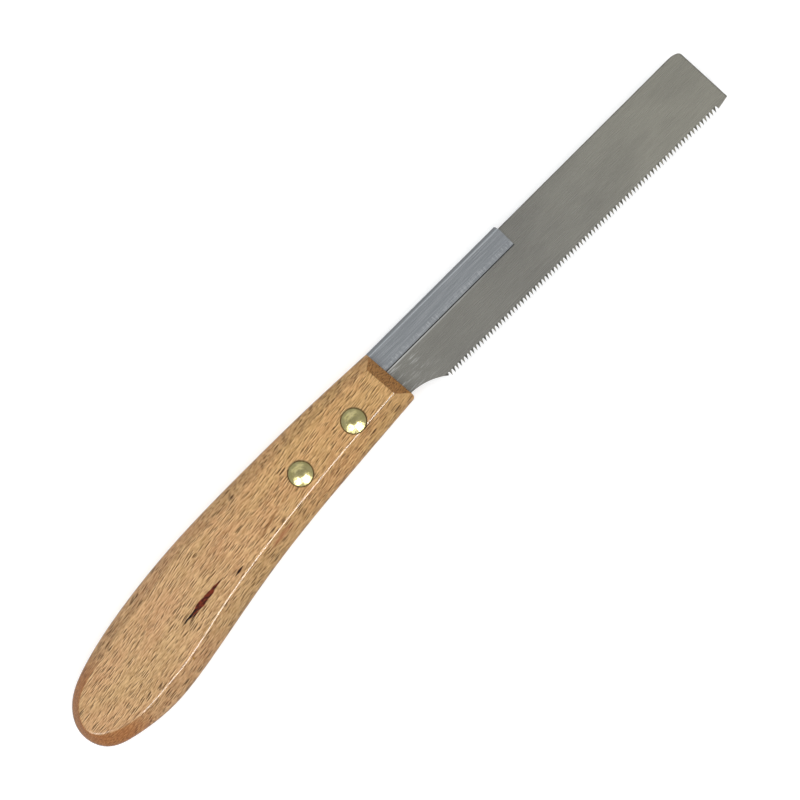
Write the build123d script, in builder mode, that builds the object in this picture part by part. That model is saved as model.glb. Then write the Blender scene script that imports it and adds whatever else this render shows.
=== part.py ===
from build123d import *
import os
from math import cos, dist, radians, sin, sqrt

# Mane thinning knife: a fine-toothed steel strip with a folded stiffening spine,
# held in the sawn slot of a one-piece beech handle by two cutlery rivets.
# The knife lies on its side: +X runs along the blade to its tip, +Y goes from the
# teeth to the back, and +Z is up through the thickness. Millimetres throughout.
# Outlines are drawn on SEAT, whose origin is where the blade's straight back meets
# the front end of the handle, in the middle of the thickness.

# ---- driving dimensions -------------------------------------------------------
BUTT_REACH = 108.6          # front end of the handle to its butt
TIP_REACH = 101.4           # front end of the handle to the blade's lower tip corner
HANDLE_HALF = 7.0           # half the handle's thickness
CREST_Y = 1.87              # highest point of the handle's back, above the blade's back
BELLY_Y = -25.25            # lowest point of the handle's belly
FACET_OUT = 0.68            # share of a side's width taken by its flat upper facet
FACET_FOOT = 4.2            # height above the middle plane where that facet ends
SIDE_FOOT = 1.4             # height where the rounding below it becomes upright
ROUNDING_STEPS = 3          # lofted steps in that rounding

BLADE_THICK = 0.6
TANG_REACH = 38.0           # how far the blade runs into the handle
TANG_BOTTOM = -12.75        # lower edge of the tang and of the blade at the handle
TANG_ROUND = 2.0            # radius of the tang's two inner corners
TIP_TOP_REACH = 100.65      # where the blade's back and its end line would meet
TIP_CORNER_Y = -15.75       # lower tip corner
TIP_ROUND = (3.2, 1.5)      # the upper tip corner's rounding, along the back and down
GULLET_Y = -15.45           # line of the gullets between the teeth
TOOTH_DEPTH = 1.18
TOOTH_COUNT = 86
TOOTH_START = 10.8          # handle-side flank of the first tooth
TOOTH_PITCH = 1.0132        # 25 teeth to the inch
TOOTH_ROOT = 0.68           # width of a tooth at the gullet line
TOOTH_LAND = 0.06           # width left at its point
TOOTH_SET = 0.1             # how far each point leans out of the strip
HEEL_RADIUS = 15.3          # concave curve that drops from the tang towards the teeth
HEEL_BOTTOM = -16.1         # where it ends, just below the gullets
HEEL_GAP = 0.28             # from its end to the gullet line's start
LAND_BOTTOM = -16.35        # lowest point of the toothless land at the tip

SHEET = 0.9                 # thickness of the sheet that the spine is folded from
SPINE_TOP = 0.94            # the fold's outside, above the blade's back
SPINE_WIDTH = 6.0
SPINE_FRONT = 42.2          # end of the spine along the blade
SPINE_TAIL = 36.0           # how far it runs into the handle
SPINE_CHAMFER = (0.4, 1.05)  # length and height taken off its front top corner

RIVET_PLACES = {"front": -12.9, "rear": -30.15}
RIVET_Y = -8.0
HEAD_RADIUS = 3.0
HEAD_RIM = 0.9              # straight edge of a rivet head, below its dome
HEAD_DOME = 0.7
HEAD_SUNK = 0.15            # how far that edge sits below the wood
SHANK_RADIUS = 1.5          # the male half's shank
TUBE_RADIUS = 2.0           # the female half's tube
CLEARANCE = 0.05            # around the tube, the shank and the spine

BEVEL_LENGTH = 2.7          # front bevels, along the handle
BEVEL_FOOT = 4.2            # height above the middle plane where they end
FRONT_LEAN = 4.6            # degrees that the front end leans forward, going down

# ---- placing ------------------------------------------------------------------
front_x = (BUTT_REACH - TIP_REACH) / 2
back_y = -(CREST_Y + BELLY_Y) / 2
middle_z = HANDLE_HALF + HEAD_DOME - HEAD_SUNK   # the knife rests on its rivet heads
SEAT = Plane((front_x, back_y, middle_z))
RIVET_SPOTS = [(along, RIVET_Y) for along in RIVET_PLACES.values()]
head_top = HANDLE_HALF - HEAD_SUNK               # where a head's dome starts
head_seat = head_top - HEAD_RIM

# Outline of the handle in its middle plane, and of its flat faces, both from the
# front top corner round the butt to the front lower corner, point for point.
SILHOUETTE = [
    (0, 0.95), (-18.5, 1.68), (-38, CREST_Y), (-64.8, 1.15), (-83.3, -1.05),
    (-97.2, -4.25), (-105.4, -8.5), (-BUTT_REACH, -14.7), (-106.5, -21.0),
    (-99.5, -24.05), (-88, BELLY_Y), (-78.7, -24.3), (-64.8, -21.75),
    (-46.3, -18.6), (-23.2, -16.15), (1.2, -14.2),
]
FACE = [
    (0, -1.8), (-18.5, -1.35), (-38, -1.25), (-64.2, -1.95), (-81.8, -3.95),
    (-95.4, -6.3), (-103.6, -9.3), (-106.75, -14.3), (-105.0, -18.2),
    (-98.5, -20.85), (-90.4, -21.3), (-80.5, -20.45), (-66.0, -17.5),
    (-47.2, -14.3), (-23.5, -11.75), (1.0, -9.9),
]

# Every section's curve takes the same share of its length from point to point, which
# keeps the lofted sides even.
OUTLINE_STEPS = [0.0]
for here, following in zip(SILHOUETTE, SILHOUETTE[1:]):
    OUTLINE_STEPS.append(OUTLINE_STEPS[-1] + dist(here, following))

os.makedirs("parts", exist_ok=True)


def side_profile():
    """How far out the sides stand, 0 at a flat face to 1 in the middle, with heights.

    From a flat face down: one straight facet, then a rounding that carries on from it
    and ends upright. The knee is where the facet's line meets the upright side.
    """
    knee = HANDLE_HALF - (HANDLE_HALF - FACET_FOOT) / FACET_OUT
    steps = [(0, HANDLE_HALF), (FACET_OUT, FACET_FOOT)]
    for step in range(1, ROUNDING_STEPS + 1):
        t = step / ROUNDING_STEPS
        start, middle, end = (1 - t) ** 2, 2 * t * (1 - t), t**2
        out = start * FACET_OUT + middle + end
        steps.append((out, start * FACET_FOOT + middle * knee + end * SIDE_FOOT))
    return steps


def handle_outline(out):
    """Points of the handle's outline where its sides stand out by that share."""
    return [
        Vector(*inner) + (Vector(*outer) - Vector(*inner)) * out
        for outer, inner in zip(SILHOUETTE, FACE)
    ]


# ---- handle -------------------------------------------------------------------
front_line = Plane(
    SEAT.from_local_coords(Vector(0, SILHOUETTE[0][1], 0)),
    x_dir=(cos(radians(FRONT_LEAN)), sin(radians(FRONT_LEAN)), 0),
    z_dir=(sin(radians(FRONT_LEAN)), -cos(radians(FRONT_LEAN)), 0),
)

with BuildPart() as handle:
    profile = side_profile()
    for out, height in profile + [(out, -height) for out, height in reversed(profile)]:
        points = handle_outline(out)
        with BuildSketch(SEAT.offset(height)):
            with BuildLine():
                add(Edge.make_spline(points, parameters=OUTLINE_STEPS))
                Line(points[-1], points[0])
            make_face()
    loft(ruled=True)

    # End-grain bevels above and below the blade, at the front end.
    with BuildSketch(front_line):
        for side in (1, -1):
            with BuildLine():
                Polyline(
                    (-BEVEL_LENGTH, -side * HANDLE_HALF),
                    (0, -side * BEVEL_FOOT),
                    (BEVEL_LENGTH, -side * BEVEL_FOOT),
                    (BEVEL_LENGTH, -side * 2 * HANDLE_HALF),
                    (-BEVEL_LENGTH, -side * 2 * HANDLE_HALF),
                    close=True,
                )
            make_face()
    extrude(amount=-2 * BELLY_Y, both=True, mode=Mode.SUBTRACT)

    # Saw kerf for the tang, open at the front, back and belly.
    with BuildSketch(SEAT):
        with Locations((-TANG_REACH, 0)):
            Rectangle(2 * TANG_REACH, -4 * BELLY_Y, align=(Align.MIN, Align.CENTER))
    extrude(amount=BLADE_THICK / 2, both=True, mode=Mode.SUBTRACT)

    # Wider groove along the back for the folded spine.
    with BuildSketch(SEAT):
        with Locations((-SPINE_TAIL, SPINE_TOP - SPINE_WIDTH - CLEARANCE)):
            Rectangle(2 * SPINE_TAIL, 2 * SPINE_WIDTH, align=Align.MIN)
    extrude(amount=BLADE_THICK / 2 + SHEET + CLEARANCE, both=True, mode=Mode.SUBTRACT)

    # Rivet holes, with shallow seats for the heads on both faces.
    with BuildSketch(SEAT):
        with Locations(*RIVET_SPOTS):
            Circle(TUBE_RADIUS + CLEARANCE)
    extrude(amount=2 * HANDLE_HALF, both=True, mode=Mode.SUBTRACT)
    for side in (1, -1):
        with BuildSketch(SEAT.offset(side * head_seat)):
            with Locations(*RIVET_SPOTS):
                Circle(HEAD_RADIUS)
        extrude(amount=side * HANDLE_HALF, mode=Mode.SUBTRACT)
handle.part.label = "handle"
export_step(handle.part, "parts/handle.step")

# ---- spine --------------------------------------------------------------------
# A strip of sheet folded over the blade's back: a full-round fold, straight legs,
# and a small chamfer at its front top corner.
spine_half = BLADE_THICK / 2 + SHEET
spine_bottom = SPINE_TOP - SPINE_WIDTH
tail_plane = Plane(
    SEAT.from_local_coords(Vector(-SPINE_TAIL, 0, 0)), x_dir=(0, 1, 0), z_dir=(1, 0, 0)
)
with BuildPart() as spine_channel:
    with BuildSketch(tail_plane):
        with BuildLine():
            leg = Line((spine_bottom, -spine_half), (SPINE_TOP - spine_half, -spine_half))
            ThreePointArc(leg @ 1, (SPINE_TOP, 0), (SPINE_TOP - spine_half, spine_half))
            Polyline(
                (SPINE_TOP - spine_half, spine_half),
                (spine_bottom, spine_half),
                (spine_bottom, BLADE_THICK / 2),
                (0, BLADE_THICK / 2),
                (0, -BLADE_THICK / 2),
                (spine_bottom, -BLADE_THICK / 2),
                leg @ 0,
            )
        make_face()
    extrude(amount=SPINE_TAIL + SPINE_FRONT)
    with BuildSketch(SEAT):
        with Locations((SPINE_FRONT, SPINE_TOP)):
            with BuildLine():
                Polyline(
                    (-SPINE_CHAMFER[0], 0),
                    (0, -SPINE_CHAMFER[1]),
                    (SPINE_CHAMFER[0], 0),
                    close=True,
                )
            make_face()
    extrude(amount=2 * spine_half, both=True, mode=Mode.SUBTRACT)
spine_channel.part.label = "spine_channel"
export_step(spine_channel.part, "parts/spine_channel.step")

# ---- blade --------------------------------------------------------------------
# Strip with its tang: straight back, rounded upper tip corner, leaning end, a short
# toothless land at the lower tip corner and a concave heel by the handle.
tip_top = Vector(TIP_TOP_REACH, 0)
tip_corner = Vector(TIP_REACH, TIP_CORNER_Y)
heel_drop = TANG_BOTTOM - HEEL_BOTTOM
heel_run = sqrt(HEEL_RADIUS**2 - (HEEL_RADIUS - heel_drop) ** 2)
first_gap = TOOTH_START - (TOOTH_PITCH - TOOTH_ROOT)
heel_end = (first_gap - HEEL_GAP, HEEL_BOTTOM)
tooth_end = TOOTH_START + TOOTH_COUNT * TOOTH_PITCH

with BuildPart() as blade:
    with BuildSketch(SEAT):
        with BuildLine():
            back = Line((-TANG_REACH, 0), tip_top - Vector(TIP_ROUND[0], 0))
            end_point = tip_top + (tip_corner - tip_top).normalized() * TIP_ROUND[1]
            Bezier(back @ 1, tip_top, end_point)
            Polyline(
                end_point,
                tip_corner,
                (tooth_end, LAND_BOTTOM),
                (tooth_end, GULLET_Y),
                (first_gap, GULLET_Y),
                heel_end,
            )
            heel_start = (heel_end[0] - heel_run, TANG_BOTTOM)
            RadiusArc(heel_end, heel_start, HEEL_RADIUS)
            Polyline(heel_start, (-TANG_REACH, TANG_BOTTOM), back @ 0)
        make_face()
        with Locations(*RIVET_SPOTS):
            Circle(TUBE_RADIUS + CLEARANCE, mode=Mode.SUBTRACT)
    extrude(amount=BLADE_THICK / 2, both=True)
    fillet(blade.edges().filter_by(Axis.Z).group_by(Axis.X)[0], radius=TANG_ROUND)

    # Teeth lean to one side and the other in turn. Each has a flank square to the
    # edge on the handle side and a long slanting one towards the tip.
    for side in (1, -1):
        with BuildPart(mode=Mode.PRIVATE) as tooth:
            root_plane = Plane((0, 0, 0), x_dir=(1, 0, 0), z_dir=(0, -1, 0))
            with BuildSketch(root_plane):
                Rectangle(TOOTH_ROOT, BLADE_THICK, align=(Align.MIN, Align.CENTER))
            with BuildSketch(root_plane.offset(TOOTH_DEPTH)):
                with Locations((0, side * TOOTH_SET)):
                    Rectangle(TOOTH_LAND, BLADE_THICK, align=(Align.MIN, Align.CENTER))
            loft()
        first = 0 if side == 1 else 1
        places = [
            (TOOTH_START + n * TOOTH_PITCH, GULLET_Y)
            for n in range(first, TOOTH_COUNT, 2)
        ]
        with Locations(SEAT):
            with Locations(*places):
                add(tooth.part)
blade.part.label = "blade"
export_step(blade.part, "parts/blade.step")

# ---- rivets -------------------------------------------------------------------
# Two-part cutlery rivets: the female half's tube passes through handle and tang from
# below, and the male half's shank is driven into it from above.
tube_end = head_seat - CLEARANCE
socket_floor = -head_seat
for place, along in RIVET_PLACES.items():
    foot = SEAT.from_local_coords(Vector(along, RIVET_Y, 0))
    half_plane = Plane(foot, x_dir=(1, 0, 0), z_dir=(0, -1, 0))
    rivet_axis = Axis(foot, (0, 0, 1))

    with BuildPart() as rivet_male:
        with BuildSketch(half_plane):
            with BuildLine():
                Polyline(
                    (0, head_top + HEAD_DOME),
                    (0, socket_floor + CLEARANCE),
                    (SHANK_RADIUS, socket_floor + CLEARANCE),
                    (SHANK_RADIUS, head_seat),
                    (HEAD_RADIUS, head_seat),
                    (HEAD_RADIUS, head_top),
                )
                TangentArc(
                    (0, head_top + HEAD_DOME), (HEAD_RADIUS, head_top), tangent=(1, 0)
                )
            make_face()
        revolve(axis=rivet_axis)
    rivet_male.part.label = f"{place}_rivet_male"
    export_step(rivet_male.part, f"parts/{place}_rivet_male.step")

    with BuildPart() as rivet_female:
        with BuildSketch(half_plane):
            with BuildLine():
                Polyline(
                    (0, -head_top - HEAD_DOME),
                    (0, socket_floor),
                    (SHANK_RADIUS + CLEARANCE, socket_floor),
                    (SHANK_RADIUS + CLEARANCE, tube_end),
                    (TUBE_RADIUS, tube_end),
                    (TUBE_RADIUS, -head_seat),
                    (HEAD_RADIUS, -head_seat),
                    (HEAD_RADIUS, -head_top),
                )
                TangentArc(
                    (0, -head_top - HEAD_DOME), (HEAD_RADIUS, -head_top), tangent=(1, 0)
                )
            make_face()
        revolve(axis=rivet_axis)
    rivet_female.part.label = f"{place}_rivet_female"
    export_step(rivet_female.part, f"parts/{place}_rivet_female.step")
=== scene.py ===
import math

import bmesh
import bpy
import numpy as np
from mathutils import Matrix, Vector


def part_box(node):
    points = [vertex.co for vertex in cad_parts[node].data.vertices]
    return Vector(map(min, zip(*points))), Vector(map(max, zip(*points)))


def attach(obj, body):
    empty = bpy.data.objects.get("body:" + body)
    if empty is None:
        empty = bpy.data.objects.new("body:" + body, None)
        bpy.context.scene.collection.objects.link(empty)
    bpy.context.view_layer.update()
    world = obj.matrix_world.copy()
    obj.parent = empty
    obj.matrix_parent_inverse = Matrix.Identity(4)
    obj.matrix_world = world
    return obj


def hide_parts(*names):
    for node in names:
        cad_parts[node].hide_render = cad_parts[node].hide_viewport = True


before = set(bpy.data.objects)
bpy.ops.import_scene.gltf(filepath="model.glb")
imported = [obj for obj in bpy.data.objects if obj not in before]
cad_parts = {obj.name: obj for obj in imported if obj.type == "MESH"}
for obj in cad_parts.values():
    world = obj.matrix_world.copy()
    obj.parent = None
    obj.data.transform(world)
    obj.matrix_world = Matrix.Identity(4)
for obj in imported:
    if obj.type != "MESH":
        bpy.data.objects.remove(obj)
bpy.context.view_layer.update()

# The looks of a mane thinning knife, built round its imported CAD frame.
# Pieces are shaped in millimetres about the seat, where the blade's straight back
# meets the handle in the middle of the thickness, and placed in metres. +X runs to
# the blade's tip, +Y to its back and +Z up.

MM = 0.001

# ---- dimensions shared with the CAD model ------------------------------------------
HANDLE_HALF = 7.0
FACET_OUT = 0.68
FACET_FOOT = 4.2
SIDE_FOOT = 1.4
BLADE_HALF = 0.3
TANG_REACH = 38.0
TANG_BOTTOM = -12.75
TANG_ROUND = 2.0
HEEL_START = 0.65
HEEL_RADIUS = 15.3
HEEL_SWEEP = math.radians(38.6)
GULLET_Y = -15.45
TOOTH_DEPTH = 1.18
TOOTH_COUNT = 86
TOOTH_START = 10.8
TOOTH_PITCH = 1.0132
TOOTH_GAP = 0.333
TOOTH_SET = 0.1
TOOTH_POINT = 0.06               # width of the flat at each point
TEETH_END = TOOTH_START + TOOTH_COUNT * TOOTH_PITCH
TIP_TOP = (100.65, 0.0)
TIP_CORNER = (101.4, -15.75)
TIP_ROUND = (3.2, 1.5)
SPINE_HALF = 1.2
SPINE_TOP = 0.94
SPINE_BOTTOM = -5.06
SPINE_FRONT = 42.2
SPINE_TAIL = 36.0
RIVET_X = {"front": -12.9, "rear": -30.15}
RIVET_Y = -8.0
HEAD_RADIUS = 3.0
HEAD_RIM = 0.9
HEAD_DOME = 0.7
HEAD_SUNK = 0.15
HEAD_SEAT = HANDLE_HALF - HEAD_SUNK - HEAD_RIM
SHANK_RADIUS = 1.5
TUBE_RADIUS = 2.0
CLEARANCE = 0.05                 # around the tube, the shank and the spine
HOLE_RADIUS = TUBE_RADIUS + CLEARANCE
BEVEL_LENGTH = 2.7
BEVEL_FOOT = 4.2
FRONT_LEAN = math.radians(4.6)
ARRIS_ROUND = 0.45               # rounding between the flat face and the facet
SILHOUETTE = [
    (0, 0.95), (-18.5, 1.68), (-38, 1.87), (-64.8, 1.15), (-83.3, -1.05),
    (-97.2, -4.25), (-105.4, -8.5), (-108.6, -14.7), (-106.5, -21.0),
    (-99.5, -24.05), (-88, -25.25), (-78.7, -24.3), (-64.8, -21.75),
    (-46.3, -18.6), (-23.2, -16.15), (1.2, -14.2),
]
FACE = [
    (0, -1.8), (-18.5, -1.35), (-38, -1.25), (-64.2, -1.95), (-81.8, -3.95),
    (-95.4, -6.3), (-103.6, -9.3), (-106.75, -14.3), (-105.0, -18.2),
    (-98.5, -20.85), (-90.4, -21.3), (-80.5, -20.45), (-66.0, -17.5),
    (-47.2, -14.3), (-23.5, -11.75), (1.0, -9.9),
]

# ---- where the frame puts them -----------------------------------------------------
blade_low, blade_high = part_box("blade")
spine_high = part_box("spine_channel")[1]
SEAT = Vector((
    spine_high.x - SPINE_FRONT * MM, blade_high.y, (blade_low.z + blade_high.z) / 2
))


# ---- mesh tools --------------------------------------------------------------------
SMOOTH_ANGLE = math.radians(32)


def make_piece(name, points, faces, material=None):
    """An object from points in millimetres about the seat."""
    mesh = bpy.data.meshes.new(name)
    mesh.from_pydata([SEAT + Vector(p) * MM for p in points], [], faces)
    return finish_mesh(name, mesh, material)


def finish_mesh(name, mesh, material):
    """Links a mesh as an object, its faces turned outward and shaded by their angles."""
    work = bmesh.new()
    work.from_mesh(mesh)
    bmesh.ops.recalc_face_normals(work, faces=work.faces)
    work.to_mesh(mesh)
    work.free()
    mesh.shade_smooth()
    mesh.set_sharp_from_angle(angle=SMOOTH_ANGLE)
    piece = bpy.data.objects.new(name, mesh)
    bpy.context.scene.collection.objects.link(piece)
    if material:
        mesh.materials.append(material)
    return piece


def walls(count):
    """Faces between an outline of count points and the copy of it that follows."""
    return [(i, (i + 1) % count, (i + 1) % count + count, i + count) for i in range(count)]


def prism(outline, low, high):
    """Points and faces of an outline of (x, y) drawn up from one height to another."""
    count = len(outline)
    points = [(x, y, low) for x, y in outline] + [(x, y, high) for x, y in outline]
    return points, walls(count) + [tuple(range(count)), tuple(range(count, 2 * count))]


def lathe(profile, steps=96):
    """Points and faces of a closed (radius, height) profile turned about the Z axis."""
    points, faces, rings = [], [], []
    for radius, height in profile:
        if radius < 1e-6:
            rings.append([len(points)] * steps)
            points.append((0, 0, height))
            continue
        rings.append(list(range(len(points), len(points) + steps)))
        for i in range(steps):
            turn = 2 * math.pi * i / steps
            points.append((radius * math.cos(turn), radius * math.sin(turn), height))
    for lower, upper in zip(rings, rings[1:]):
        for i in range(steps):
            j = (i + 1) % steps
            corners = list(dict.fromkeys((lower[i], lower[j], upper[j], upper[i])))
            if len(corners) > 2:
                faces.append(corners)
    return points, faces


def cut_away(body, cutters, material):
    """Takes the cutters out of body for good, and gives the rest its material."""
    for cutter in cutters:
        cut = body.modifiers.new("cut", "BOOLEAN")
        cut.operation = "DIFFERENCE"
        cut.solver = "EXACT"
        cut.object = cutter
    bpy.context.view_layer.update()
    mesh = bpy.data.meshes.new_from_object(
        body.evaluated_get(bpy.context.evaluated_depsgraph_get())
    )
    body.modifiers.clear()
    body.data = mesh
    for cutter in cutters:
        bpy.data.objects.remove(cutter)
    mesh.materials.clear()
    mesh.materials.append(material)
    mesh.shade_smooth()
    mesh.set_sharp_from_angle(angle=SMOOTH_ANGLE)


def bezier(t, start, middle, end):
    """The quadratic curve from start to end that heads for middle, at t from 0 to 1."""
    return (1 - t) ** 2 * start + 2 * t * (1 - t) * middle + t * t * end


def round_corner(before, corner, after, radius, steps=5):
    """Points that round a corner, reaching radius back along each of its sides."""
    before, corner, after = (np.array(p, float) for p in (before, corner, after))
    start = corner + (before - corner) * radius / np.linalg.norm(before - corner)
    end = corner + (after - corner) * radius / np.linalg.norm(after - corner)
    return [tuple(bezier(t, start, corner, end)) for t in np.linspace(0, 1, steps)]


def curve_through(points, steps, samples):
    """A natural cubic spline through points, at the given steps, read at samples."""
    points, steps = np.array(points, float), np.array(steps, float)
    gaps = np.diff(steps)
    system, wanted = np.eye(len(points)), np.zeros_like(points)
    for i in range(1, len(points) - 1):
        system[i, i - 1 : i + 2] = gaps[i - 1], 2 * (gaps[i - 1] + gaps[i]), gaps[i]
        wanted[i] = 6 * (
            (points[i + 1] - points[i]) / gaps[i] - (points[i] - points[i - 1]) / gaps[i - 1]
        )
    bend = np.linalg.solve(system, wanted)
    span = np.clip(np.searchsorted(steps, samples) - 1, 0, len(points) - 2)
    gap = gaps[span][:, None]
    ahead = (steps[span + 1] - samples)[:, None]
    behind = (samples - steps[span])[:, None]
    return (
        (bend[span] * ahead**3 + bend[span + 1] * behind**3) / (6 * gap)
        + (points[span] / gap - bend[span] * gap / 6) * ahead
        + (points[span + 1] / gap - bend[span + 1] * gap / 6) * behind
    )


# ---- node tools --------------------------------------------------------------------
class Shader:
    """A material's node tree, with short ways to add nodes to it."""

    def __init__(self, name):
        self.material = bpy.data.materials.new(name)
        self.material.use_nodes = True
        self.tree = self.material.node_tree
        self.tree.nodes.clear()

    def add(self, kind, inputs=None, **settings):
        made = self.tree.nodes.new("ShaderNode" + kind)
        for key, value in settings.items():
            setattr(made, key, value)
        for key, value in (inputs or {}).items():
            if isinstance(value, bpy.types.NodeSocket):
                self.tree.links.new(value, made.inputs[key])
            else:
                made.inputs[key].default_value = value
        return made

    def math(self, operation, a, b=0.0, clamp=False):
        return self.add("Math", {0: a, 1: b}, operation=operation, use_clamp=clamp).outputs[0]

    def vector(self, operation, a, b, output=0):
        return self.add("VectorMath", {0: a, 1: b}, operation=operation).outputs[output]

    def mapped(self, vector, scale, shift=(0, 0, 0)):
        return self.add(
            "Mapping", {"Vector": vector, "Scale": scale, "Location": shift}
        ).outputs[0]

    def noise(self, vector, scale, detail=2.0, roughness=0.5):
        """Noise whose features are 1 / scale long on each axis."""
        return self.add(
            "TexNoise",
            {"Vector": self.mapped(vector, scale), "Scale": 1.0, "Detail": detail,
             "Roughness": roughness},
        ).outputs["Fac"]

    def ramp(self, value, low, high, low_out=0.0, high_out=1.0):
        """Smooth step of value from low to high."""
        return self.add(
            "MapRange",
            {"Value": value, "From Min": low, "From Max": high,
             "To Min": low_out, "To Max": high_out},
            interpolation_type="SMOOTHSTEP",
        ).outputs[0]

    def mix(self, factor, a, b, blend="MIX"):
        made = self.add("Mix", data_type="RGBA", blend_type=blend)
        for socket, value in zip((0, 6, 7), (factor, a, b)):
            if isinstance(value, bpy.types.NodeSocket):
                self.tree.links.new(value, made.inputs[socket])
            else:
                made.inputs[socket].default_value = value
        return made.outputs[2]

    def millimetres(self, turn=0.0):
        """Coordinates in millimetres about the seat, turned about Z by turn radians."""
        origin = Matrix.Rotation(turn, 3, "Z") @ (SEAT / MM)
        place = self.add("TexCoord").outputs["Object"]
        return self.add(
            "Mapping",
            {"Vector": place, "Scale": (1 / MM,) * 3, "Rotation": (0, 0, turn),
             "Location": -origin},
        ).outputs[0]

    def surface(self, inputs):
        shader = self.add("BsdfPrincipled", inputs)
        self.add("OutputMaterial", {"Surface": shader.outputs[0]})
        return self.material


def rgb(red, green, blue):
    """A colour given in sRGB, 0 to 255, as linear RGBA."""
    def linear(c):
        c /= 255
        return c / 12.92 if c <= 0.04045 else ((c + 0.055) / 1.055) ** 2.4
    return (linear(red), linear(green), linear(blue), 1.0)


# ---- materials ---------------------------------------------------------------------
GRAIN_TURN = math.radians(8.5)   # the wood's grain rises towards the tip
WOOD_YELLOW = rgb(188, 152, 105)
WOOD_PINK = rgb(191, 146, 104)
WOOD_LIGHT = rgb(232, 192, 142)
WOOD_FIBRE = rgb(120, 80, 40)
WOOD_WARM = (1.0, 0.96, 0.82, 1.0)
WOOD_FLECK = rgb(56, 24, 6)
WOOD_PALE = rgb(240, 202, 150)
# The side tint is painted shade. The end and butt tints are partly end grain colour and partly
# painted shade.
WOOD_SIDE_SHADE = (0.87, 0.85, 0.81, 1.0)
WOOD_BUTT_GRAIN_AND_SHADE = (0.73, 0.49, 0.29, 1.0)
WOOD_END_GRAIN_AND_SHADE = (0.62, 0.5, 0.36, 1.0)
# Painted shade for the gap round the rivet heads.
SEAT_GAP_SHADE = rgb(52, 32, 16)
GUM_RED = rgb(112, 38, 12)
GUM_DARK = rgb(62, 20, 4)
GUM_BLACK = rgb(26, 9, 2)
GUM_DASH = rgb(44, 22, 8)
# Marks on the upper side: place, turn in degrees, half length, half width, strength, colour.
STAINS = (
    ((-43.3, -11.0), 14.7, 6.5, 0.5, 0.8, rgb(134, 88, 50)),
    ((-43.0, -15.0), 7.0, 6.0, 0.9, 0.6, rgb(158, 92, 60)),
    ((-77.6, -20.7), 50.0, 0.55, 0.36, 0.9, rgb(148, 104, 22)),
)
# Layers of spindles: cells per millimetre, shift, reach in cells, least and most strength.
SPINDLES = (
    ((0.25, 2.8, 1.3), (0.0, 0.0, 0.0), 0.37, 0.25, 0.9),
    ((0.38, 3.3, 1.5), (3.7, 1.3, 8.1), 0.36, 0.0, 0.8),
)
PALE_BESIDE = (0.0, 0.22, 0.0)


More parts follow.
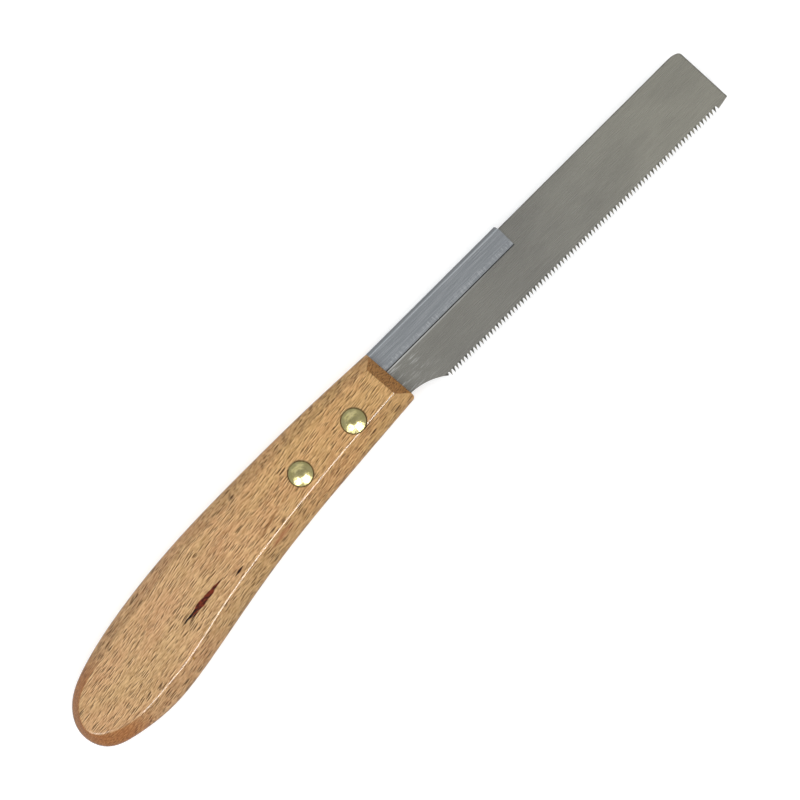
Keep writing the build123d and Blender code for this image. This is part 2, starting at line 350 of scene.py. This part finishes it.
def beech():
    s = Shader("lacquered_beech")
    straight = s.millimetres()
    p = s.millimetres(turn=-GRAIN_TURN)
    wander = s.add(
        "TexNoise", {"Vector": s.mapped(p, (0.03, 0.07, 0.07)), "Scale": 1.0}).outputs["Color"]
    wander = s.vector("SUBTRACT", wander, (0.5, 0.5, 0.5))
    p = s.vector("ADD", p, s.vector("MULTIPLY", wander, (0.0, 3.0, 3.0)))

    # Ground colour: slow clouds and long streaks, then fine fibres.
    clouds = s.noise(p, (0.05, 0.14, 0.14), detail=3.0)
    colour = s.mix(s.ramp(clouds, 0.32, 0.68), WOOD_YELLOW, WOOD_PINK)
    streaks = s.noise(p, (0.06, 0.8, 0.6), detail=2.0)
    colour = s.mix(s.ramp(streaks, 0.4, 0.7, 0.0, 0.2), colour, WOOD_LIGHT)
    fibres = s.noise(p, (0.3, 3.4, 2.6), detail=0.0)
    colour = s.mix(s.ramp(fibres, 0.5, 0.8, 0.0, 0.35), colour, WOOD_FIBRE)
    colour = s.mix(s.ramp(fibres, 0.5, 0.2, 0.0, 0.35), colour, WOOD_LIGHT)
    pores = s.noise(p, (1.0, 4.6, 3.0), detail=0.0)
    colour = s.mix(s.ramp(pores, 0.5, 0.8, 0.0, 0.45), colour, WOOD_FIBRE)
    colour = s.mix(s.ramp(pores, 0.5, 0.2, 0.0, 0.45), colour, WOOD_LIGHT)

    # Ray flecks: thin dark spindles along the grain, each with a pale one beside it.
    # They are faint on the butt.
    flecks, pale = [
        s.math("MAXIMUM", *[spindles(s, place, *layer) for layer in SPINDLES])
        for place in (p, s.vector("ADD", p, PALE_BESIDE))
    ]
    colour = s.mix(s.math("MULTIPLY", pale, 0.6), colour, WOOD_PALE)
    x = s.add("SeparateXYZ", {0: straight}).outputs[0]
    normal = s.add("NewGeometry").outputs["Normal"]
    upright = s.math("ABSOLUTE", s.add("SeparateXYZ", {0: normal}).outputs[2])
    side = s.ramp(upright, 0.97, 0.6)
    butt = s.math("MULTIPLY", side, s.ramp(x, -90.0, -101.0))
    flecks = s.math("MULTIPLY", flecks, s.ramp(butt, 0.0, 1.0, 1.0, 0.4))
    colour = s.mix(flecks, colour, WOOD_FLECK)

    # Painted shade: the sides are a little darker than the flat faces. The end grain at the
    # front and the sides at the butt are much darker, partly the wood's own end grain colour and
    # partly painted shade.
    colour = s.mix(side, colour, WOOD_SIDE_SHADE, blend="MULTIPLY")
    grain = (math.cos(GRAIN_TURN), math.sin(GRAIN_TURN), 0)
    along = s.math("ABSOLUTE", s.vector("DOT_PRODUCT", normal, grain, output="Value"))
    colour = s.mix(s.ramp(x, -75.0, -15.0), colour, WOOD_WARM, blend="MULTIPLY")
    front = s.ramp(x, -6.0, -4.0)
    colour = s.mix(s.math("MULTIPLY", s.ramp(along, 0.1, 0.5), front), colour, WOOD_END_GRAIN_AND_SHADE,
                   blend="MULTIPLY")
    colour = s.mix(butt, colour, WOOD_BUTT_GRAIN_AND_SHADE, blend="MULTIPLY")

    # Painted shade in the gap round the rivet heads, its ring shifted towards the tip and the
    # back.
    for place in RIVET_X.values():
        out = s.vector("SUBTRACT", straight, (place + 0.08, RIVET_Y + 0.08, 0.0))
        out = s.vector("MULTIPLY", out, (1.0, 1.0, 0.0))
        out = s.vector("LENGTH", out, (0.0, 0.0, 0.0), output="Value")
        colour = s.mix(s.ramp(out, 3.26, 3.1, 0.0, 0.55), colour, SEAT_GAP_SHADE)

    # A soft stain beside the arris, a reddish one below it, and a small ochre speck.
    for place, turn, half_length, half_width, strength, tone in STAINS:
        mark = lens(s, straight, place, math.radians(turn), half_length, half_width, soft=0.9)
        colour = s.mix(s.math("MULTIPLY", mark, strength), colour, tone)

    # Gum pocket with its dark tail, and a short dash further on.
    pocket, tail, dash = gum_marks(s, straight)
    gum_tone = s.mix(s.ramp(s.noise(straight, (0.9, 1.6, 1.6), detail=3.0), 0.4, 0.6),
                     GUM_RED, GUM_DARK)
    colour = s.mix(pocket, colour, gum_tone)
    colour = s.mix(tail, colour, GUM_BLACK)
    colour = s.mix(dash, colour, GUM_DASH)

    relief = s.math("MULTIPLY", flecks, -0.5)
    relief = s.math("ADD", relief, s.math("MULTIPLY", fibres, -0.5))
    relief = s.math("ADD", relief, s.math("MULTIPLY", pocket, -1.5))
    bump = s.add("Bump", {"Height": relief, "Distance": 0.00004, "Strength": 0.6}).outputs[0]
    return s.surface({
        "Base Color": colour, "Roughness": 0.45, "Normal": bump,
        "Specular IOR Level": 0.0,
        "Coat Weight": 1.0, "Coat Roughness": 0.1, "Coat IOR": 1.5,
    })


def spindles(s, p, scale, shift, reach, least, most):
    """Mask of thin spindles scattered along the grain."""
    cells = s.add(
        "TexVoronoi", {"Vector": s.mapped(p, scale, shift), "Scale": 1.0, "Randomness": 0.8})
    strength = s.add("SeparateColor", {0: cells.outputs["Color"]}).outputs[0]
    spot = s.ramp(cells.outputs["Distance"], reach, reach * 0.75)
    return s.math("MULTIPLY", spot, s.ramp(strength, 0.0, 1.0, least, most))


def lens(s, p, centre, turn, half_length, half_width, soft=0.25):
    """Mask of a pointed lens shape lying on the upper face, in millimetres."""
    shift = s.vector("SUBTRACT", p, (*centre, 0.0))
    turned = s.add("VectorRotate", {"Vector": shift, "Angle": -turn}, rotation_type="Z_AXIS")
    x, y, z = s.add("SeparateXYZ", {0: turned.outputs[0]}).outputs
    along = s.math("DIVIDE", s.math("ABSOLUTE", x), half_length)
    width = s.math("SUBTRACT", 1.0, s.math("POWER", along, 1.5))
    room = s.math("SUBTRACT", s.math("MULTIPLY", width, half_width), s.math("ABSOLUTE", y))
    mask = s.ramp(room, -0.04, soft * half_width)
    return s.math("MULTIPLY", mask, s.ramp(z, 4.0, 5.0))


def gum_marks(s, straight):
    """Masks of the gum pocket, of its tail and of a short dash further on."""
    ragged = s.add(
        "TexNoise", {"Vector": s.mapped(straight, (0.7, 2.2, 1.0)), "Scale": 1.0}
    ).outputs["Color"]
    ragged = s.vector("MULTIPLY", s.vector("SUBTRACT", ragged, (0.5, 0.5, 0.5)), (0.8, 0.7, 0.0))
    p = s.vector("ADD", straight, ragged)
    pocket = lens(s, p, (-66.0, -12.95), math.radians(7), 6.5, 0.66)
    pocket = s.math("MAXIMUM", pocket, lens(s, p, (-67.4, -13.0), math.radians(5), 3.4, 0.9))
    tail = lens(s, p, (-71.6, -13.4), math.radians(6), 3.0, 0.22)
    tail = s.math("MAXIMUM", tail, lens(s, p, (-70.6, -13.9), math.radians(4), 1.6, 0.22))
    dash = lens(s, straight, (-55.9, -13.85), math.radians(9), 1.7, 0.32)
    return pocket, tail, dash


BLADE_LIGHT = rgb(164, 162, 154)
BLADE_DARK = rgb(154, 152, 145)
BLADE_TIP = (1.32, 1.31, 1.24, 1.0)
# Colour of the real scratches, and of a painted highlight beside the spine.
BLADE_SCRATCH_AND_SHEEN = rgb(248, 248, 244)
# Painted shade on the teeth.
TOOTH_SHADE = (0.55, 0.55, 0.53, 1.0)
# Painted shade along the strip's back and end.
EDGE_SHADE = (0.34, 0.34, 0.33, 1.0)
# Painted shade along the spine's edge.
JOINT_SHADE = rgb(40, 40, 42)


def satin_steel():
    s = Shader("satin_blade_steel")
    p = s.millimetres()
    mottle = s.noise(p, (0.05, 0.1, 0.1), detail=4.0)
    brushed = s.noise(p, (0.2, 9.0, 9.0), detail=3.0, roughness=0.6)
    colour = s.mix(s.ramp(mottle, 0.3, 0.7), BLADE_DARK, BLADE_LIGHT)
    colour = s.mix(s.ramp(brushed, 0.35, 0.65, 0.0, 0.3), colour, BLADE_DARK)

    x, y = s.add("SeparateXYZ", {0: p}).outputs[:2]
    colour = s.mix(s.ramp(x, 35.0, 95.0), colour, BLADE_TIP, blend="MULTIPLY")

    # Light scratches from fitting, on the part next to the handle.
    scratch = s.ramp(s.noise(p, (0.25, 3.2, 0.5), detail=2.0), 0.52, 0.72, 0.0, 0.7)
    near = s.math("MULTIPLY", s.ramp(x, 13.0, 4.0), s.ramp(y, -15.0, -9.0, 0.4, 1.0))
    colour = s.mix(s.math("MULTIPLY", scratch, near), colour, BLADE_SCRATCH_AND_SHEEN)

    # A dark line of painted shade where the spine's edge lies on the blade, and a painted
    # highlight beside it.
    below = s.math("ABSOLUTE", s.math("SUBTRACT", y, SPINE_BOTTOM - 0.06))
    covered = s.ramp(x, SPINE_FRONT + 0.2, SPINE_FRONT)
    joint_shade = s.math("MULTIPLY", s.ramp(below, 0.26, 0.08), covered)
    colour = s.mix(joint_shade, colour, JOINT_SHADE)
    below = s.math("ABSOLUTE", s.math("SUBTRACT", y, SPINE_BOTTOM - 0.45))
    painted_shine = s.math("MULTIPLY", s.ramp(below, 0.2, 0.05), s.ramp(x, SPINE_FRONT, 0.0, 0.0, 0.8))
    colour = s.mix(painted_shine, colour, BLADE_SCRATCH_AND_SHEEN)

    # Painted shade: the teeth are darker than the strip, up to the last of them.
    teeth = s.ramp(y, GULLET_Y + 0.15, GULLET_Y - 0.1)
    teeth = s.math("MULTIPLY", teeth, s.ramp(x, TEETH_END + 0.3, TEETH_END - 0.1))
    colour = s.mix(teeth, colour, TOOTH_SHADE, blend="MULTIPLY")

    # Painted shade: the strip's sheared edges along its back and its end are darker.
    lean = (TIP_CORNER[0] - TIP_TOP[0]) / TIP_CORNER[1]
    ahead = s.math("SUBTRACT", x, s.math("MULTIPLY", y, lean))
    back = s.ramp(y, -0.3, -0.05)
    end = s.ramp(ahead, TIP_TOP[0] - 0.3, TIP_TOP[0] - 0.05)
    colour = s.mix(s.math("MAXIMUM", back, end), colour, EDGE_SHADE, blend="MULTIPLY")

    rough = s.ramp(brushed, 0.3, 0.7, 0.25, 0.29)
    bump = s.add("Bump", {"Height": brushed, "Distance": 0.000004, "Strength": 0.15}).outputs[0]
    return s.surface({
        "Base Color": colour, "Metallic": 1.0, "Roughness": rough, "Normal": bump,
    })


SPINE_DARK = rgb(179, 184, 188)
SPINE_LIGHT = rgb(190, 193, 196)
SPINE_NICK = rgb(228, 230, 232)


def spine_steel():
    s = Shader("drawn_spine_steel")
    p = s.millimetres()
    y = s.add("SeparateXYZ", {0: p}).outputs[1]
    brushed = s.noise(p, (0.1, 6.0, 6.0), detail=3.0, roughness=0.6)
    colour = s.mix(s.ramp(brushed, 0.35, 0.65), SPINE_DARK, SPINE_LIGHT)
    # Small bright nicks in a band above the lower edge.
    nicks = s.noise(p, (3.2, 0.7, 2.0), detail=1.0)
    band = s.ramp(s.math("ABSOLUTE", s.math("SUBTRACT", y, SPINE_BOTTOM + 0.8)), 0.75, 0.3)
    colour = s.mix(
        s.math("MULTIPLY", band, s.ramp(nicks, 0.46, 0.7, 0.0, 0.65)), colour, SPINE_NICK)
    rough = s.ramp(brushed, 0.3, 0.7, 0.22, 0.28)
    bump = s.add("Bump", {"Height": brushed, "Distance": 0.000004, "Strength": 0.3}).outputs[0]
    return s.surface({
        "Base Color": colour, "Metallic": 1.0, "Roughness": rough, "Normal": bump,
    })


BRASS_DARK = rgb(194, 183, 126)
BRASS_LIGHT = rgb(205, 194, 141)


def polished_brass():
    s = Shader("polished_brass")
    p = s.millimetres()
    tone = s.noise(p, (0.7, 0.7, 0.7), detail=4.0)
    colour = s.mix(s.ramp(tone, 0.3, 0.7), BRASS_DARK, BRASS_LIGHT)
    waves = s.noise(p, (0.9, 0.9, 0.9), detail=3.0)
    bump = s.add("Bump", {"Height": waves, "Distance": 0.0001, "Strength": 0.8}).outputs[0]
    return s.surface({
        "Base Color": colour, "Metallic": 1.0, "Roughness": 0.22, "Normal": bump})


# ---- handle ------------------------------------------------------------------------
def side_rings():
    """(out, height) from the middle plane up to the foot of the side's flat facet.

    out is 1 in the middle plane and falls to 0 at the edge of the flat face.
    """
    knee = HANDLE_HALF - (HANDLE_HALF - FACET_FOOT) / FACET_OUT
    rings = [(1.0, 0.0), (1.0, SIDE_FOOT * 0.5)]
    for t in np.linspace(1, 0, 9):
        rings.append((bezier(t, FACET_OUT, 1.0, 1.0), bezier(t, FACET_FOOT, knee, SIDE_FOOT)))
    for out in (0.5, 0.32):
        rings.append((out, HANDLE_HALF - (HANDLE_HALF - FACET_FOOT) * out / FACET_OUT))
    return rings


def build_handle(material):
    ahead = 3.0                  # spare length at the front, which the cutters take off
    strides = np.linalg.norm(np.diff(SILHOUETTE, axis=0), axis=1)
    steps = np.concatenate(([0], np.cumsum(strides)))
    samples = np.linspace(0, steps[-1], 480)
    outer, inner = (curve_through(line, steps, samples) for line in (SILHOUETTE, FACE))
    outer, inner = (
        np.vstack([line[0] + (ahead, 0), line, line[-1] + (ahead, 0)]) for line in (outer, inner)
    )
    depth = outer - inner
    reach = np.linalg.norm(depth, axis=1)[:, None]
    inward = -depth / reach

    # One side's rings: up the rounded side, round its edge, and a little way in.
    side = side_rings()
    rings = [(inner + depth * out, height) for out, height in side]
    last_out, last_height = side[-1]
    slope = np.hypot(reach[:, 0] * last_out, HANDLE_HALF - last_height)[:, None]
    start_share = np.clip(ARRIS_ROUND / slope, 0, 0.95)
    start = inner + depth * last_out * start_share
    start_height = HANDLE_HALF - (HANDLE_HALF - last_height) * start_share[:, 0]
    stop = inner + inward * ARRIS_ROUND
    for t in np.linspace(0, 1, 6):
        height = bezier(t, start_height, HANDLE_HALF, HANDLE_HALF)
        rings.append((bezier(t, start, inner, stop), height))
    rings.append((inner + inward * (ARRIS_ROUND + 0.35), HANDLE_HALF))

    count = len(outer)
    points, faces, loops = [], [], []
    stack = [(line, -np.asarray(h)) for line, h in reversed(rings[1:])] + rings
    for line, height in stack:
        loops.append(range(len(points), len(points) + count))
        heights = np.broadcast_to(height, count)
        points += [(x, y, z) for (x, y), z in zip(line, heights)]
    for lower, upper in zip(loops, loops[1:]):
        faces += [
            (lower[i], lower[(i + 1) % count], upper[(i + 1) % count], upper[i])
            for i in range(count)
        ]
    faces += [tuple(loops[0]), tuple(loops[-1])]
    body = make_piece("handle_wood", points, faces)
    cut_away(body, handle_cutters(), material)
    return body


def handle_cutters():
    """What is sawn, drilled and bevelled out of the handle."""
    made = []
    # Front end: the end face with a steep bevel above and below, its edges eased.
    foot, far = BEVEL_FOOT, 12.0
    behind = -BEVEL_LENGTH - 0.4
    top = round_corner((-9, HANDLE_HALF), (-BEVEL_LENGTH, HANDLE_HALF), (0, foot), 0.12)
    top += round_corner((-BEVEL_LENGTH, HANDLE_HALF), (0, foot), (0, -foot), 0.3)
    outside = top + [(n, -z) for n, z in reversed(top)]
    outside += [(behind, -far), (far, -far), (far, far), (behind, far)]
    lean = Matrix.Rotation(FRONT_LEAN, 3, "Z")
    corner = Vector((*SILHOUETTE[0], 0))
    points = []
    for across in (-30.0, 15.0):
        points += [corner + lean @ Vector((n, across, z)) for n, z in outside]
    count = len(outside)
    faces = walls(count) + [tuple(range(count)), tuple(range(count, 2 * count))]
    made.append(make_piece("cutter_front", points, faces))

    # The end's two upright corners are eased, the lower one more.
    across_end = np.array((math.sin(FRONT_LEAN), -math.cos(FRONT_LEAN)))
    for corner, inward, back, radius in (
        (SILHOUETTE[0], across_end, (-1.0, 0.04), 0.5),
        (SILHOUETTE[-1], -across_end, (-1.0, -0.08), 1.1),
    ):
        corner, back = np.array(corner), np.array(back)
        ease = round_corner(corner + inward, corner, corner + back, radius)
        ease += [ease[-1] - inward, corner - inward - back, ease[0] - back]
        made.append(make_piece("cutter_corner", *prism([tuple(p) for p in ease], -9, 9)))

    # Saw kerf and spine groove.
    kerf, groove = BLADE_HALF + 0.02, SPINE_BOTTOM - CLEARANCE
    made.append(make_piece("cutter_kerf", *prism(
        [(-TANG_REACH, -40), (10, -40), (10, 10), (-TANG_REACH, 10)],
        -kerf, kerf)))
    made.append(make_piece("cutter_groove", *prism(
        [(-SPINE_TAIL, groove), (10, groove), (10, 10), (-SPINE_TAIL, 10)],
        -SPINE_HALF - CLEARANCE, SPINE_HALF + CLEARANCE)))

    # Rivet holes with their seats.
    wide, chamfer = HEAD_RADIUS + 0.08, 0.12
    upper = [(HOLE_RADIUS, HEAD_SEAT), (wide, HEAD_SEAT), (wide, HANDLE_HALF - chamfer),
             (wide + chamfer, HANDLE_HALF), (wide + 0.25, 9), (0, 9)]
    profile = [(radius, -height) for radius, height in reversed(upper)] + upper
    for place, along in RIVET_X.items():
        points, faces = lathe(profile)
        moved = [(x + along, y + RIVET_Y, z) for x, y, z in points]
        made.append(make_piece("cutter_" + place, moved, faces))
    return made


# ---- blade -------------------------------------------------------------------------
def build_blade(material):
    """A strip with set teeth. The two faces meet along walls round the whole outline."""
    tail_top, tail_bottom = (-TANG_REACH, 0), (-TANG_REACH, TANG_BOTTOM)
    outline = round_corner((0, 0), tail_top, tail_bottom, TANG_ROUND)
    outline += round_corner(tail_top, tail_bottom, (0, TANG_BOTTOM), TANG_ROUND)
    heel = np.array((HEEL_START, TANG_BOTTOM))
    for turn in np.linspace(0, HEEL_SWEEP, 14):
        arc = np.array((math.sin(turn), math.cos(turn) - 1))
        outline.append(tuple(heel + HEEL_RADIUS * arc))

    # The teeth, each with a round gullet before it, an upright flank and a slanting one.
    tooth_spans = []
    root = TOOTH_PITCH - TOOTH_GAP
    half_gap = TOOTH_GAP / 2
    first_apex = TOOTH_START - half_gap
    outline.append((first_apex - half_gap, GULLET_Y))
    for n in range(TOOTH_COUNT + 1):
        start = TOOTH_START + n * TOOTH_PITCH
        outline.append((start - half_gap, GULLET_Y))
        for turn in np.linspace(0, math.pi / 2, 4)[1:]:
            outline.append((
                start - half_gap + half_gap * math.sin(turn),
                GULLET_Y - half_gap + half_gap * math.cos(turn),
            ))
        if n == TOOTH_COUNT:
            break
        outline.append((start, GULLET_Y - TOOTH_DEPTH))
        outline.append((start + TOOTH_POINT, GULLET_Y - TOOTH_DEPTH))
        flank = np.array((start + root - 0.13, GULLET_Y - 0.25))
        next_apex = np.array((start + TOOTH_PITCH - half_gap, GULLET_Y))
        bend = np.array((start + root, GULLET_Y))
        for t in (0.0, 0.35, 0.7):
            outline.append(tuple(bezier(t, flank, bend, next_apex)))
        tooth_spans.append((len(outline) - 9, len(outline)))

    # The toothless corner and the end.
    outline.append((TEETH_END + 0.05, GULLET_Y - 0.92))
    outline.append(TIP_CORNER)
    tip_top, tip_corner = np.array(TIP_TOP), np.array(TIP_CORNER)
    down = (tip_corner - tip_top) / np.linalg.norm(tip_corner - tip_top)
    corner_start, corner_end = tip_top + down * TIP_ROUND[1], tip_top - (TIP_ROUND[0], 0)
    for t in np.linspace(0, 1, 9):
        outline.append(tuple(bezier(t, corner_start, tip_top, corner_end)))

    count = len(outline)
    lean = np.zeros(count)
    for n, (first, last) in enumerate(tooth_spans):
        for i in range(first, last):
            drop = (GULLET_Y - outline[i][1]) / TOOTH_DEPTH
            lean[i] = drop * TOOTH_SET * (1 if n % 2 else -1)
    points = [(x, y, lean[i] - BLADE_HALF) for i, (x, y) in enumerate(outline)]
    points += [(x, y, lean[i] + BLADE_HALF) for i, (x, y) in enumerate(outline)]
    faces = walls(count)
    in_tooth = {i for first, last in tooth_spans for i in range(first + 1, last)}
    strip = [i for i in range(count) if i not in in_tooth]
    for base in (0, count):
        faces.append(tuple(i + base for i in strip))
        faces += [tuple(i + base for i in range(first, last + 1)) for first, last in tooth_spans]
    blade = make_piece("blade_strip", points, faces)
    holes = []
    for place, along in RIVET_X.items():
        ring = [(along + HOLE_RADIUS * math.cos(a), RIVET_Y + HOLE_RADIUS * math.sin(a))
                for a in np.linspace(0, 2 * math.pi, 48, endpoint=False)]
        holes.append(make_piece("cutter_hole_" + place, *prism(ring, -1, 1)))
    cut_away(blade, holes, material)
    return blade


# ---- spine -------------------------------------------------------------------------
def build_spine(material):
    """The folded strip: its section drawn along the blade's back."""
    fold = SPINE_TOP - SPINE_HALF
    section = [(SPINE_BOTTOM, BLADE_HALF), (SPINE_BOTTOM, SPINE_HALF)]
    for turn in np.linspace(0, math.pi, 25):
        section.append((fold + SPINE_HALF * math.sin(turn), SPINE_HALF * math.cos(turn)))
    section += [(SPINE_BOTTOM, -SPINE_HALF), (SPINE_BOTTOM, -BLADE_HALF)]
    section += [(0, -BLADE_HALF), (0, BLADE_HALF)]
    count = len(section)
    points, faces = [], []
    stops = (-SPINE_TAIL, 0.0, 20.0, SPINE_FRONT)
    for along in stops:
        points += [(along, y, z) for y, z in section]
    for first in range(0, count * (len(stops) - 1), count):
        faces += [
            (first + i, first + (i + 1) % count,
             first + count + (i + 1) % count, first + count + i)
            for i in range(count)
        ]
    faces += [tuple(range(count)), tuple(range(len(points) - count, len(points)))]
    spine = make_piece("spine_fold", points, faces)
    corner = make_piece("cutter_corner", *prism(
        [(SPINE_FRONT - 0.4, SPINE_TOP + 0.001), (SPINE_FRONT + 0.4, SPINE_TOP + 1),
         (SPINE_FRONT + 0.4, SPINE_TOP - 1.05), (SPINE_FRONT + 0.001, SPINE_TOP - 1.05)],
        -3, 3))
    cut_away(spine, [corner], material)
    return spine


# ---- rivets ------------------------------------------------------------------------
def rivet_profile(male):
    """Half section of one rivet half, with its head up: a low dome, a rim and a shank."""
    top, seat = HANDLE_HALF - HEAD_SUNK, HEAD_SEAT
    radius = HEAD_RADIUS - 0.03
    sphere = (radius**2 + HEAD_DOME**2) / (2 * HEAD_DOME)
    profile = []
    for r in np.linspace(0, radius - 0.12, 28):
        height = top + HEAD_DOME - sphere + math.sqrt(sphere**2 - r**2)
        dimple = 0.03 * math.exp(-((r / 0.45) ** 2))
        ring = 0.022 * math.exp(-(((r - 1.5) / 0.32) ** 2))
        profile.append((r, height - dimple - ring))
    profile += round_corner(profile[-1], (radius, top + 0.02), (radius, seat), 0.14)[1:]
    profile.append((radius, seat))
    end, socket = CLEARANCE - seat, SHANK_RADIUS + CLEARANCE
    if male:
        return profile + [(SHANK_RADIUS, seat), (SHANK_RADIUS, end), (0, end)]
    return profile + [
        (TUBE_RADIUS, seat), (TUBE_RADIUS, end), (socket, end), (socket, seat), (0, seat)]


def build_rivets(material):
    for place, along in RIVET_X.items():
        for half, up in (("male", 1), ("female", -1)):
            points, faces = lathe(rivet_profile(half == "male"))
            moved = [(x + along, y + RIVET_Y, z * up) for x, y, z in points]
            piece = make_piece(f"{place}_rivet_{half}_brass", moved, faces, material)
            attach(piece, "root")
            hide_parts(f"{place}_rivet_{half}")


# ---- stage -------------------------------------------------------------------------
ROLL = math.radians(-44.9)      # the blade points to the picture's upper right
AIM = Vector((1.7 * MM, -0.4 * MM, SEAT.z))
FRAME_WIDTH = 185.2 * MM        # what the picture's width spans at the height of AIM
CAMERA_HEIGHT = 1.5
picture = Matrix.Rotation(ROLL, 3, "Z")


def build_camera():
    data = bpy.data.cameras.new("camera")
    data.sensor_width = 36
    data.lens = data.sensor_width * CAMERA_HEIGHT / FRAME_WIDTH
    data.dof.use_dof = False
    data.clip_end = 10
    camera = bpy.data.objects.new("camera", data)
    camera.location = AIM + Vector((0, 0, CAMERA_HEIGHT))
    camera.rotation_euler = (0, 0, ROLL)
    bpy.context.scene.collection.objects.link(camera)
    bpy.context.scene.camera = camera


def softbox(name, turn, tilt, width, depth, power, diffuse=True, reflected=True):
    """An area light 1 m out: tilt degrees off the vertical, turned from the picture's right."""
    data = bpy.data.lights.new(name, "AREA")
    data.shape = "RECTANGLE"
    data.size, data.size_y = width, depth
    data.energy = power
    light = bpy.data.objects.new(name, data)
    turn, tilt = math.radians(turn), math.radians(tilt)
    level = math.sin(tilt)
    out = Vector((math.cos(turn) * level, math.sin(turn) * level, math.cos(tilt)))
    light.location = AIM + picture @ out
    aim = AIM - light.location
    light.rotation_mode = "QUATERNION"
    light.rotation_quaternion = aim.to_track_quat("-Z", "Y")
    light.visible_diffuse = diffuse
    light.visible_glossy = reflected
    bpy.context.scene.collection.objects.link(light)


# How bright the room is, by the cosine of the angle off the vertical.
SKY = ((0.0, 0.4), (0.3, 0.4), (0.6, 0.5), (0.87, 0.5), (0.96, 0.38), (1.0, 0.36))


def build_stage():
    half = 3.0
    corners = [(-half, -half, 0), (half, -half, 0), (half, half, 0), (-half, half, 0)]
    floor_mesh = bpy.data.meshes.new("floor")
    floor_mesh.from_pydata(corners, [], [(0, 1, 2, 3)])
    floor = bpy.data.objects.new("floor", floor_mesh)
    bpy.context.scene.collection.objects.link(floor)
    s = Shader("pale_floor")
    floor_mesh.materials.append(s.surface({
        "Base Color": (0.9, 0.9, 0.9, 1.0), "Roughness": 0.9,
        "Emission Color": (1, 1, 1, 1), "Emission Strength": 0.35}))
    floor.visible_glossy = False
    # Turn and tilt in degrees, width and depth in metres, power in watts. The first two
    # light the surfaces, and the others are seen only in reflections.
    softbox("overhead", 0, 0, 1.6, 1.6, 11.5, reflected=False)
    softbox("key", -90, 38, 0.8, 0.5, 0.7, reflected=False)
    softbox("gloss_left", -108, 33, 0.34, 0.4, 3.6, diffuse=False)
    softbox("gloss_right", -44, 33, 0.4, 0.4, 7.2, diffuse=False)
    softbox("gloss_back", 125, 28, 1.0, 0.3, 0.5, diffuse=False)
    world = bpy.data.worlds.new("studio")
    world.use_nodes = True
    nodes, links = world.node_tree.nodes, world.node_tree.links
    height = nodes.new("ShaderNodeSeparateXYZ")
    links.new(nodes.new("ShaderNodeTexCoord").outputs["Generated"], height.inputs[0])
    sky = nodes.new("ShaderNodeValToRGB").color_ramp
    for place, level in SKY:
        if 0.0 < place < 1.0:
            step = sky.elements.new(place)
        else:
            step = sky.elements[-round(place)]
        step.color = (0.97 * level, 0.985 * level, level, 1.0)
    links.new(height.outputs[2], nodes["Color Ramp"].inputs[0])
    links.new(nodes["Color Ramp"].outputs[0], nodes["Background"].inputs["Color"])
    bpy.context.scene.world = world
    bpy.context.scene.view_settings.view_transform = "Standard"


# ---- assembly ----------------------------------------------------------------------
wood = build_handle(beech())
strip = build_blade(satin_steel())
fold = build_spine(spine_steel())
for piece, node, slot in (
    (wood, "handle", "beech"),
    (strip, "blade", "blade_steel"),
    (fold, "spine_channel", "spine_steel"),
):
    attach(piece, "root")
    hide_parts(node)
build_rivets(polished_brass())
build_camera()
build_stage()
